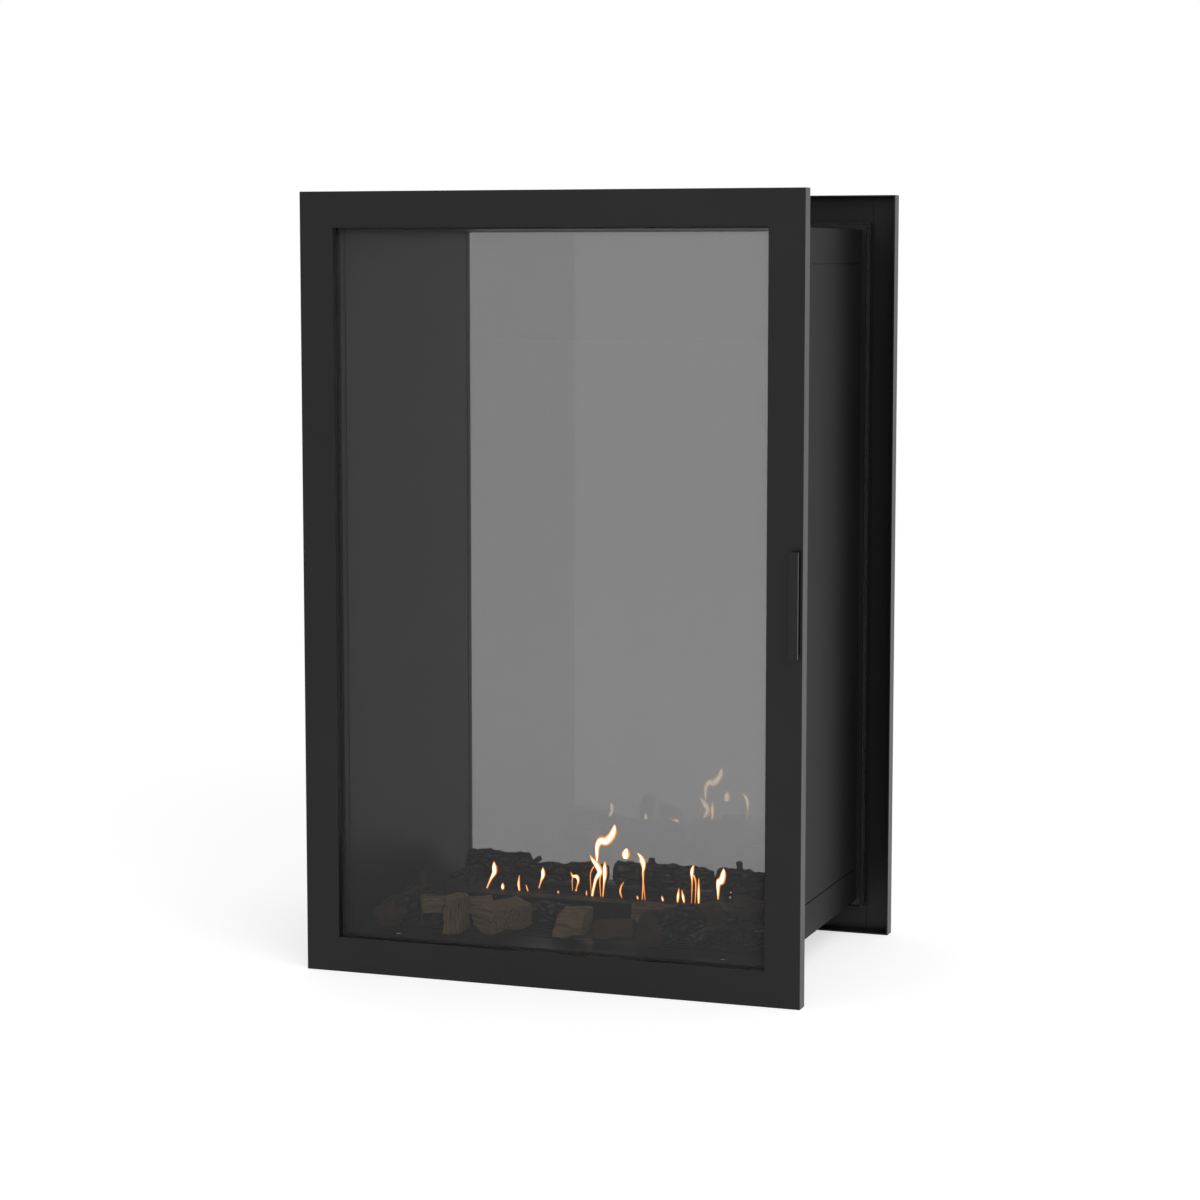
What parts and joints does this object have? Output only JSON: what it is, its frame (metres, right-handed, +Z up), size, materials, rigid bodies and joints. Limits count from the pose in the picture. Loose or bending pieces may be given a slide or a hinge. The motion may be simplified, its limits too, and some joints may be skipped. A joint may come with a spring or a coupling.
{
  "type": "double-sided ethanol fireplace",
  "caption": "Double-sided ethanol fireplace for a wall: an open-ended black casing with a hinged glazed door, a fixed glazed rear frame, and a slotted burner among ceramic logs.",
  "frame": {"origin": "middle of the casing's underside, which rests on the plinth inside the wall", "axes": "+Z up, +Y from the door towards the fixed rear frame, +X to the right of someone who faces the door"},
  "size_m": [0.662, 0.478, 1],
  "materials": {
    "black_casing": "satin powder coat",
    "black_frame": "satin powder coat",
    "tinted_glass": "clear tinted",
    "black_tape": "woven",
    "seal_rope": "woven",
    "black_fittings": "black zinc",
    "magnet": "matte",
    "burner_steel": "heat-darkened",
    "wool": "fibrous",
    "bark_log": "bark relief",
    "red_log": "bark relief and split grain",
    "split_log": "split grain"
  },
  "bodies": {
    "casing": {"base_tray": "black_casing", "left_side_panel": "black_casing", "right_side_panel": "black_casing", "top_cap": "black_casing", "front_collar": "black_casing", "rear_collar": "black_casing", "rear_right_stile": "black_frame", "rear_left_stile": "black_frame", "rear_bottom_rail": "black_frame", "rear_top_rail": "black_frame", "rear_glass": "tinted_glass", "rear_glass_tape": "black_tape", "front_rope_seal": "seal_rope", "rear_rope_seal": "seal_rope", "rear_glass_clips": "black_fittings", "rear_frame_brackets": "black_fittings", "rear_cap_nuts": "black_fittings", "hinge_arms": "black_fittings", "hinge_pins": "black_fittings", "catch_brackets": "black_fittings", "regulator_runners": "black_fittings", "catch_magnets": "magnet", "burner_tank": "burner_steel", "burner_lid": "burner_steel", "burner_wool": "wool", "log_left_long": "bark_log", "log_bark_front": "bark_log", "log_bark_right": "bark_log", "log_branch_right": "bark_log", "log_curved_left": "bark_log", "log_grey_back": "bark_log", "log_back_left": "bark_log", "log_back_right": "bark_log", "log_red_back": "red_log", "log_brown_wedge": "red_log", "log_split_right": "red_log", "log_split_left": "split_log", "log_upright_chunk": "split_log", "log_split_wedge": "split_log", "log_stump_chunk": "split_log", "log_pale_block": "split_log", "log_sliver_right": "split_log"},
    "door": {"door_right_stile": "black_frame", "door_left_stile": "black_frame", "door_bottom_rail": "black_frame", "door_top_rail": "black_frame", "door_glass": "tinted_glass", "door_glass_tape": "black_tape", "door_glass_clips": "black_fittings", "door_cap_nuts": "black_fittings", "door_handle": "black_frame", "door_handle_screws": "black_fittings", "hinge_door_leaves": "black_fittings", "strike_plates": "black_fittings"},
    "regulator": {"regulator_shutter": "burner_steel"}
  },
  "joints": [
    {"name": "door_hinge", "type": "hinge", "parent": "casing", "child": "door", "pos_m": [-0.325, -0.21, 0], "axis": [0, 0, -1], "range_deg": [0, 100]},
    {"name": "regulator_slide", "type": "slide", "parent": "casing", "child": "regulator", "axis": [0, 1, 0], "range_m": [0, 0.0057]}
  ]
}
